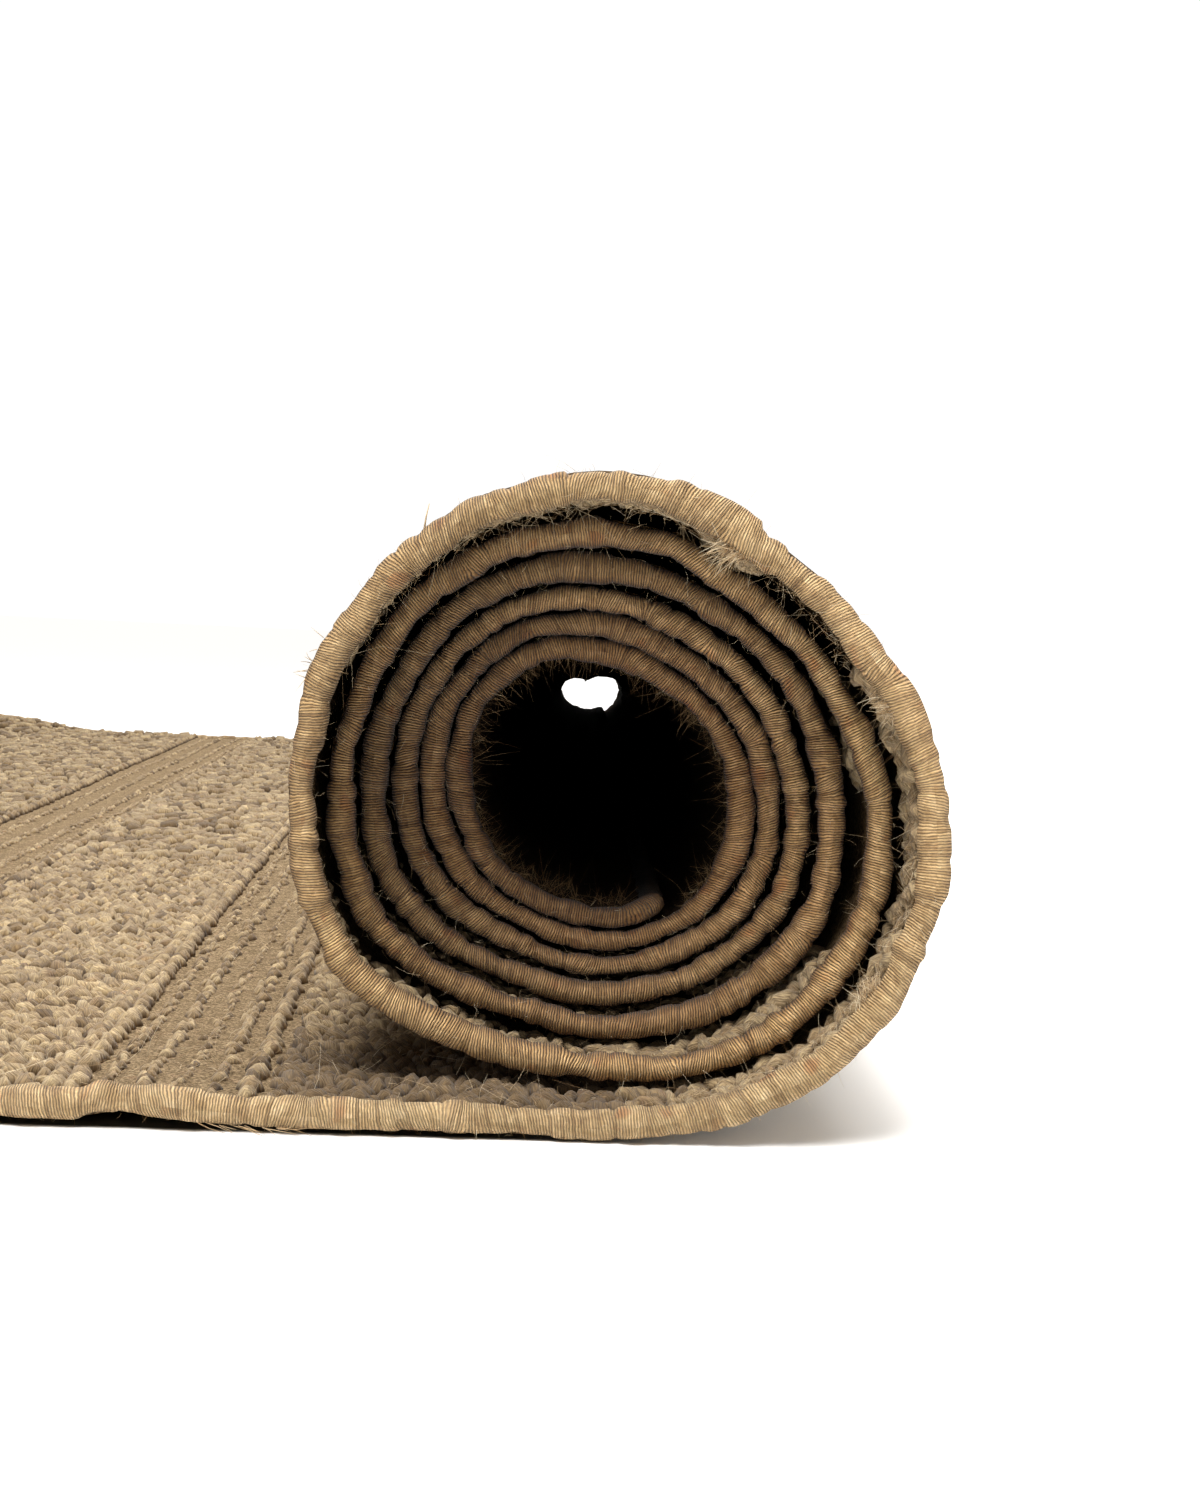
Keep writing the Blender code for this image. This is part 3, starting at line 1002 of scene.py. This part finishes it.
# %% Material of the loops
LOOP_FIBRES = ((0.42, (0.45, 0.40, 0.34)), (0.58, (1.25, 1.24, 1.2)))
LOOP_FOOT = ((0.0, (0.34, 0.28, 0.22)), (0.45, (1.0, 1.0, 1.0)))
LOOP_TONES = (
    (0.0, (0.34, 0.29, 0.22)),
    (0.25, (0.68, 0.63, 0.54)),
    (0.7, (0.84, 0.83, 0.77)),
    (1.0, (1.12, 1.12, 1.05)),
)


def loop_material():
    """Soft boucle yarn: fibres along each loop, its own tone, and shade at its foot."""
    material, tree, shader = yarn_shader("loop_yarn", 0.8, 0.12)
    where = uv_place(tree, "yarn")
    root = wire(tree, "SeparateXYZ", {0: uv_place(tree, "root")})
    colour = grouped(tree, jute_colour, {"Vector": where, "Dust": 0.5})
    streak = grouped(tree, fibre_grain, {"Vector": where})
    fibre = ramp(tree, maths(tree, "ADD", streak, 0.5), LOOP_FIBRES)
    colour = shaded(tree, colour, 0.8, fibre)
    colour = shaded(tree, colour, 1.0, ramp(tree, root.outputs[0], LOOP_FOOT))
    colour = shaded(tree, colour, 1.0, ramp(tree, root.outputs[1], LOOP_TONES))
    tree.links.new(colour, shader.inputs["Base Color"])
    bumped(tree, shader, streak, 0.0012)
    return material


loop_yarn = loop_material()

# %% [markdown]
# ## The looped bands and the ridges
# Bands of loops alternate with bands of felted plain weave, and a rope-like ridge of
# doubled yarn marks each border. The loops sit in staggered rows, none quite in line. Near
# the open end of the roll they have more faces, and far away fewer and larger ones do.

# %% Bands along the carpet
# from, to: looped bands, in metres along the carpet
LOOPED_BANDS = (
    (-0.460, -0.282),
    (-0.217, -0.134),
    (-0.080, 0.340),
    (0.400, 0.560),
    (0.610, 0.980),
    (1.040, 1.130),
    (1.190, 1.560),
    (1.620, WOUND - 0.010),
)
# where, size against a loop: ridges
RIDGES = (
    (-0.2810, 0.95), (-0.2200, 1.10), (-0.1330, 0.95), (-0.1285, 1.00), (-0.0860, 0.85),
    (-0.2680, 0.50), (-0.2550, 0.60), (-0.2400, 0.60), (-0.2300, 0.50),
    (-0.1210, 0.55), (-0.1120, 0.68), (-0.1030, 0.45), (-0.0950, 0.68),
)
LOOP = (0.0074, 0.0036, 0.0048)     # length, width and height of a loop
LOOP_PITCH = (0.0053, 0.0040)       # from one loop to the next, along and across the carpet
FAR_PITCH = (0.0094, 0.0074)
SUNK = 0.0006                       # how deep a loop's foot sits in the ground
FROM_EDGE = EDGE_WIDTH * 0.9        # no loop is nearer to the outline of the carpet
PILE_ENDS = (-0.46, 0.03)           # of the loops that are seen on the loose end


def band_spots(start, end, low, high, pitch):
    """Staggered, jittered places in one band between two lines across the carpet."""
    rows = np.arange(low, high, pitch[1])
    columns = np.arange(start, end, pitch[0])
    x, y = np.meshgrid(columns, rows)
    x = x + (np.arange(len(rows)) % 2)[:, None] * pitch[0] / 2
    x = x + luck.normal(0, 0.2, x.shape) * pitch[0]
    y = y + luck.normal(0, 0.2, y.shape) * pitch[1]
    inside = (x > start) & (x < end) & (y > FROM_EDGE) & (y < RUG_WIDTH - FROM_EDGE)
    return np.stack([x[inside], y[inside], np.full(inside.sum(), BASE_TOP - SUNK)], axis=1)


def loops_at(name, spots, detail, scale=1.0, tones=(0.0, 1.0)):
    """Loops of yarn on given places, each a little different."""
    count = len(spots)
    sizes = np.array(LOOP) * (luck.uniform(0.7, 1.25, count) * scale)[:, None]
    sizes = sizes * luck.uniform(0.85, 1.15, (count, 3))
    headings = luck.normal(0, 0.8, count)
    return strewn(name, yarn_loop(*detail), spots, headings, sizes, tones)


def in_bands(low, high, first, last, pitch=LOOP_PITCH):
    """Loop places in every looped band that lies between two places along the carpet."""
    spots = [
        band_spots(max(start, first), min(end, last), low, high, pitch)
        for start, end in LOOPED_BANDS
        if end > first and start < last
    ]
    return np.concatenate(spots)


near_pile = loops_at("pile_near", in_bands(0.008, 0.19, *PILE_ENDS), (7, 5))
middle_pile = loops_at("pile_middle", in_bands(0.19, 0.50, PILE_ENDS[0], 0.0), (5, 4))
far_spots = in_bands(0.50, RUG_WIDTH, PILE_ENDS[0], 0.0, FAR_PITCH)
far_pile = loops_at("pile_far", far_spots, (5, 3), scale=1.5)

# %% [markdown]
# ## Loops between the turns
# Between the turns only the outermost loops show, and not everywhere: where the turns are
# pressed they are hidden, and where the cloth bends away they stand free. Only a narrow
# strip of them is made at each end of the roll, because no one can look further in.

# %% Loops between the turns
# from hour, to hour of the winding, size: where loops show between the turns
SHOWING = (
    (0.0, 2.7, 1.0), (2.7, 3.5, 1.1), (3.5, 4.1, 1.2), (4.1, 5.1, 0.0), (5.1, 5.5, 1.2),
    (5.5, 8.0, 0.8), (8.0, 8.5, 1.0), (8.5, 10.3, 0.45), (10.3, 12.0, 0.8), (12.0, 13.2, 1.0),
    (13.2, 15.8, 1.15), (15.8, 18.0, 0.5), (18.0, 22.0, 0.4), (22.0, 26.5, 0.7),
    (26.5, 34.0, 0.45), (34.0, 38.0, 0.6), (38.0, 60.0, 0.4),
)
TURN_PITCH = (0.0050, 0.0040)


def showing(x):
    """How big the loops are at places along the carpet."""
    hours = np.interp(x, length_at, hours_at)
    size = np.zeros(len(x))
    for start, end, value in SHOWING:
        size = np.where((hours >= start) & (hours < end), value, size)
    return size


def turn_pile(name, low, high, detail):
    """The loops that show at one end of the roll."""
    spots = in_bands(low, high, PILE_ENDS[1], WOUND, TURN_PITCH)
    size = showing(spots[:, 0])
    spots, size = spots[size > 0], size[size > 0]
    return loops_at(name, spots, detail, scale=size, tones=(0.2, 0.85))


near_turns = turn_pile("pile_at_near_turns", 0.008, 0.030, (6, 4))
far_turns = turn_pile("pile_at_far_turns", RUG_WIDTH - 0.024, RUG_WIDTH - 0.008, (5, 3))

# %% [markdown]
# ## Ridges
# A ridge is a row of stitches that lean the same way, like the strands of a rope, so the
# loop of the pile serves again: turned, packed closely and a little larger. Thin ridges in
# the plain bands sink deeper and miss a stitch now and then.

# %% Ridges
RIDGE_LEAN = 0.75           # radians
RIDGE_SHAPE = (1.05, 1.1, 1.15)
THIN = 0.7                  # a ridge smaller than this is a thin one


def ridge_rows(name, low, high, detail):
    """The ridges from one line across to another: short leaning stitches in a row."""
    spots, sizes = [], []
    for where, size in RIDGES:
        thick = size > THIN
        y = np.arange(low, high, 0.0018 + 0.0032 * size)
        if not thick:
            y = y[luck.random(len(y)) > 0.12]
        y = y + luck.normal(0, 0.0004, len(y))
        x = where + luck.normal(0, 0.0004 if thick else 0.0009, len(y))
        sunk = 0.0001 if thick else 0.0007
        spots.append(np.stack([x, y, np.full(len(y), BASE_TOP - sunk)], axis=1))
        sizes.append(np.outer(luck.uniform(0.75, 1.25, len(y)) * size, LOOP))
    spots, sizes = np.concatenate(spots), np.concatenate(sizes)
    headings = RIDGE_LEAN + luck.normal(0, 0.2, len(spots))
    return strewn(name, yarn_loop(*detail), spots, headings, sizes * RIDGE_SHAPE)


near_ridges = ridge_rows("ridges_near", 0.009, 0.45, (7, 5))
far_ridges = ridge_rows("ridges_far", 0.45, RUG_WIDTH - 0.009, (5, 4))

# %% [markdown]
# ## Loose fibres
# Jute sheds: short fibres stand out of every thread, and longer ones curl over the pile.
# A fibre is a thin three-sided tube with one bend in it, and thousands of them are joined
# into one mesh. Its tone, from rust to pale straw, is drawn for each fibre.

# %% One fibre, many times
FIBRE_TONES = (
    (0.0, (0.20, 0.10, 0.04)),
    (0.15, (0.42, 0.27, 0.13)),
    (0.6, (0.62, 0.46, 0.27)),
    (1.0, (0.80, 0.68, 0.48)),
)


def lone_fibre():
    """An upright three-sided tube, one high, with a ring of vertices halfway."""
    form = bmesh.new()
    bmesh.ops.create_cone(form, segments=3, radius1=1.0, radius2=1.0, depth=1.0, cap_ends=True)
    upright = [side for side in form.edges if abs(side.verts[0].co.z - side.verts[1].co.z) > 0.5]
    bmesh.ops.subdivide_edges(form, edges=upright, cuts=1)
    return as_mesh(form, "lone_fibre")


def unit_vectors(vectors):
    """The same directions, each one long."""
    return vectors / np.linalg.norm(vectors, axis=1, keepdims=True)


def fibres(name, roots, ways, lengths, radius, bend, squeeze, tones=(0, 1)):
    """Thin curved tubes from given roots on the flat carpet, joined and wound."""
    unit = lone_fibre()
    shape = mesh_points(unit)
    count, each = len(roots), len(shape)
    through = (shape[:, 2] + 0.5)[None, :, None]
    ways = unit_vectors(ways)
    side = unit_vectors(np.cross(ways, luck.normal(0, 1, (count, 3))))
    third = np.cross(ways, side)
    curve = (bend * luck.normal(0, 1, count) * lengths)[:, None, None]
    thick = radius * (1 - 0.6 * through)
    points = roots[:, None, :] + ways[:, None, :] * through * lengths[:, None, None]
    points = points + side[:, None, :] * (curve * through**2 + thick * shape[None, :, 0:1])
    points = points + third[:, None, :] * thick * shape[None, :, 1:2]
    points = wind(points.reshape(-1, 3), squeeze)
    points[:, 2] = np.maximum(points[:, 2], radius)
    mesh, corners = joined_copies(name, unit, points)
    tone = np.repeat(luck.uniform(*tones, count), each)
    add_uv(mesh, "tone", np.stack([tone, tone], axis=1)[corners])
    return finished(name, mesh, [fibre_material])


def lone_fibre_material():
    """Single fibres, from rust to pale straw."""
    material, tree, shader = yarn_shader("lone_fibre", 0.6, 0.0)
    tone = wire(tree, "SeparateXYZ", {0: uv_place(tree, "tone")}).outputs[0]
    tree.links.new(ramp(tree, tone, FIBRE_TONES), shader.inputs["Base Color"])
    return material


fibre_material = lone_fibre_material()

# %% [markdown]
# ## Fuzz
# Three kinds of down are strewn over whole stretches: short fibres that stand out of the
# whipping, longer ones that curl over the loops near the edge, and brown down that has
# gathered round the mouth of the core. Gamma draws make most of them short and a few long.

# %% Fuzz on the edge, on the pile and in the core
def edge_fuzz(count):
    """Short fibres that stand out of the near edge."""
    length = luck.uniform(0, NEAR_SIDE, count)
    angle = luck.uniform(0, 2 * math.pi, count)
    out = EDGE_WIDTH / 2 * np.cos(angle)
    height = EDGE_THICKNESS / 2 * (1 + np.sin(angle))
    roots = on_edge(length, out, height)
    ways = on_edge(length, out + np.cos(angle), height + np.sin(angle)) - roots
    ways = ways + luck.normal(0, 1.1, (count, 3))
    lengths = luck.gamma(2.5, 0.0008, count)
    return fibres("edge_fuzz", roots, ways, lengths, 0.00005, 0.5, edge_squeeze)


def pile_fuzz(count):
    """Longer fibres that curl over the loops near the edge."""
    x = luck.uniform(-0.455, 0.34, count)
    y = 0.006 + luck.gamma(1.3, 0.06, count)
    y = np.where(x > 0.02, 0.006 + luck.uniform(0, 0.012, count), np.minimum(y, 0.45))
    roots = np.stack([x, y, luck.uniform(0.006, 0.009, count)], axis=1)
    ways = luck.normal(0, 1, (count, 3)) * (1.0, 1.0, 0.35) + (0, 0, 0.25)
    lengths = luck.gamma(3, 0.0014, count)
    return fibres("pile_fuzz", roots, ways, lengths, 0.00006, 0.9, pile_squeeze)


def core_fuzz(count):
    """Brown down that has gathered round the mouth of the core."""
    x = luck.uniform(WOUND - 0.235, WOUND - 0.01, count)
    roots = np.stack([x, 0.006 + luck.gamma(1.5, 0.005, count), np.full(count, 0.0055)], axis=1)
    ways = luck.normal(0, 0.6, (count, 3)) + (0, -0.1, 0.8)
    lengths = luck.gamma(3, 0.0012, count)
    return fibres("core_fuzz", roots, ways, lengths, 0.00005, 0.8, pile_squeeze, (0, 0.2))


fuzz = [edge_fuzz(4200), pile_fuzz(2600), core_fuzz(1200)]

# %% [markdown]
# ## Frayed places
# At a few hours of the winding a thread has worn through and its fibres burst out, and one
# stiff splinter stands off the edge. Some thread ends have slipped out on the floor. Each
# is a handful of fibres from nearly the same root.

# %% Frayed places and floor threads
CROWN_HEIGHT = 0.0078       # of the cord, above the back of the cloth


def tuft(name, hour, height, way, count, length, radius):
    """Fibres that burst from one place on the near edge, at an hour of the winding."""
    middle = edge_length(hour)
    along = luck.normal(middle, 0.0025, count)
    out = luck.uniform(-0.3, 0.8, count) * EDGE_WIDTH / 2
    roots = on_edge(along, out, np.full(count, height))
    ways = luck.normal(0, 0.45, (count, 3)) + way
    lengths = luck.uniform(0.4, 1, count) * length
    return fibres(name, roots, ways, lengths, radius, 0.4, edge_squeeze)


def floor_threads(count):
    """Loose thread ends that have slipped out under the near edge."""
    x = luck.uniform(-0.097, -0.076, count)
    roots = np.stack([x, luck.uniform(-0.001, 0.002, count), np.full(count, 0.0008)], axis=1)
    ways = luck.normal(0, 0.25, (count, 3)) * (1, 1, 0.2) + (0.9, -0.5, -0.05)
    lengths = luck.uniform(0.003, 0.009, count)
    return fibres("floor_threads", roots, ways, lengths, 0.00012, 0.3, edge_squeeze, (0.1, 0.5))


fuzz += [
    tuft("twig", 7.15, 0.0002, (-1.0, -0.2, -0.9), 1, 0.007, 0.00032),
    tuft("spikes_at_knot", 8.2, -0.0002, (0.3, -0.4, -1.0), 9, 0.0045, 0.00012),
    tuft("frayed_flap", 5.25, CROWN_HEIGHT, (0.5, -0.2, 1.0), 90, 0.009, 0.00011),
    tuft("frayed_knot", 3.8, CROWN_HEIGHT, (0.2, -0.2, 1.0), 50, 0.005, 0.00010),
    tuft("frayed_stub", 1.9, CROWN_HEIGHT, (0.8, -0.2, 1.0), 40, 0.006, 0.00010),
    floor_threads(14),
]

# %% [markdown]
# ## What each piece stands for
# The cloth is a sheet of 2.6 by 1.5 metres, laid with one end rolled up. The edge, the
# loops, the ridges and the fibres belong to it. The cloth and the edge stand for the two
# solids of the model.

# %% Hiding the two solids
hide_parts("woven_field")
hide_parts("whipped_binding")

# %% [markdown]
# ## The floor
# The floor is pale paper. It glows a little for the camera alone, more beside the roll and
# far behind it, so that it runs into a white ground, and it is dark under the loose end,
# where hardly any light gets in below the lifted edge.

# %% Floor
FLOOR_COLOUR = (0.93, 0.925, 0.91, 1)
# painted shade on the floor under the loose end
SHADE_UNDER_CLOTH = (0.03, 0.025, 0.02, 1)
FLOOR_GLOW = (0.33, 0.75)   # of the floor beside the roll, and of the floor far behind it
GLOW_BESIDE = 0.12          # over how much of the way to the right of the roll it rises
GLOW_BEYOND = (0.9, 1.9)    # between which distances from the middle it rises again


def floor_glow(tree, parts, where):
    """How much the floor glows, for the camera's own rays only."""
    beside = ranged(tree, parts.outputs[0], place[0], place[0] + GLOW_BESIDE)
    away = wire(tree, "VectorMath", {0: where}, operation="LENGTH").outputs["Value"]
    glow = maths(tree, "MULTIPLY", ranged(tree, away, *GLOW_BEYOND), FLOOR_GLOW[1])
    glow = maths(tree, "MULTIPLY_ADD", beside, FLOOR_GLOW[0], glow)
    seen = wire(tree, "LightPath").outputs["Is Camera Ray"]
    return maths(tree, "MULTIPLY", glow, seen)


def under_loose_end(tree, parts):
    """1 on the floor under the loose end, 0 elsewhere."""
    x, y = parts.outputs[0], parts.outputs[1]
    covered = maths(
        tree,
        "MULTIPLY",
        ranged(tree, y, place[1] + 0.0015, place[1] + 0.004),
        ranged(tree, x, place[0] + 0.02, place[0] - 0.02),
    )
    loose_side = ranged(tree, x, cad_box[0].x, cad_box[0].x + 0.004)
    covered = maths(tree, "MULTIPLY", covered, loose_side)
    far_side = ranged(tree, y, place[1] + 0.9, place[1] + 0.5)
    return maths(tree, "MULTIPLY", covered, far_side)


def floor_material():
    """Pale paper, with painted shade under the loose end."""
    material = bpy.data.materials.new("pale_floor")
    material.use_nodes = True
    tree = material.node_tree
    shader = tree.nodes["Principled BSDF"]
    shader.inputs["Roughness"].default_value = 0.6
    shader.inputs["Emission Color"].default_value = (1, 0.985, 0.95, 1)
    where = wire(tree, "TexCoord").outputs["Object"]
    parts = wire(tree, "SeparateXYZ", {0: where})
    tree.links.new(floor_glow(tree, parts, where), shader.inputs["Emission Strength"])
    # painted shade where the loose end keeps the light off the floor
    covered = under_loose_end(tree, parts)
    paper = blended(tree, "MIX", covered, FLOOR_COLOUR, SHADE_UNDER_CLOTH)
    tree.links.new(paper, shader.inputs["Base Color"])
    return material


def studio_floor():
    """A wide pale floor."""
    form = bmesh.new()
    bmesh.ops.create_grid(form, x_segments=1, y_segments=1, size=20)
    mesh = as_mesh(form, "floor")
    mesh.materials.append(floor_material())
    floor = bpy.data.objects.new("floor", mesh)
    bpy.context.scene.collection.objects.link(floor)
    return floor


floor = studio_floor()
print("the floor is", round(floor.dimensions.x), "m wide")

# %% [markdown]
# ## Lights
# A soft light from above and a little in front lights the outer turns, a second one stands
# behind, and a bright room fills in. The room is dimmer than its look, so that the turns
# fall into shade towards the core.

# %% Lights and room
ROOM_LIGHT = 0.28           # how brightly the room lights the carpet
ROOM_LOOK = 1.05            # how bright the camera sees it


def studio_light(name, place_at, target, size, power):
    """A soft square light that faces a target."""
    lamp = bpy.data.lights.new(name, "AREA")
    lamp.size = size
    lamp.energy = power
    light = bpy.data.objects.new(name, lamp)
    light.location = place_at
    aim = Vector(np.array(target) - np.array(place_at))
    light.rotation_mode = "QUATERNION"
    light.rotation_quaternion = aim.to_track_quat("-Z", "Y")
    bpy.context.scene.collection.objects.link(light)
    print(f"{name}: {aim.length:.2f} m away, {power} W")
    return light


near_end = place + np.array([0.0, 0.0, 0.08])
studio_light("key_light", near_end + (-0.30, -0.50, 1.6), near_end, 1.0, 56)
studio_light("back_light", near_end + (0.2, 1.6, 1.8), near_end, 1.6, 60)

world = bpy.data.worlds.new("studio")
bpy.context.scene.world = world
world.use_nodes = True
room = world.node_tree
seen = wire(room, "LightPath").outputs["Is Camera Ray"]
brightness = maths(room, "MULTIPLY_ADD", seen, ROOM_LOOK - ROOM_LIGHT, ROOM_LIGHT)
room.links.new(brightness, room.nodes["Background"].inputs["Strength"])
room.nodes["Background"].inputs["Color"].default_value = (1, 1, 1, 1)

# %% [markdown]
# ## Camera
# The camera looks along the roll from its open end, a hand above the floor, so that the
# spiral fills the picture and the loose end runs out to the left.

# %% Camera
CAMERA_FROM_ROLL = (-0.0400, -0.507, 0.125)
YAW, PITCH, ROLL = (math.radians(value) for value in (4.079, 3.227, 2.7))
view = bpy.data.cameras.new("camera")
view.lens = 50.66
view.sensor_width = 36
view.clip_start = 0.02
camera = bpy.data.objects.new("camera", view)
camera.location = place + np.array(CAMERA_FROM_ROLL)
turn = Matrix.Rotation(-YAW, 3, "Z") @ Matrix.Rotation(math.pi / 2 - PITCH, 3, "X")
camera.rotation_euler = (turn @ Matrix.Rotation(ROLL, 3, "Z")).to_euler()
bpy.context.scene.collection.objects.link(camera)
bpy.context.scene.camera = camera
bpy.context.scene.view_settings.view_transform = "Standard"
print("camera at", [round(value, 3) for value in camera.location])
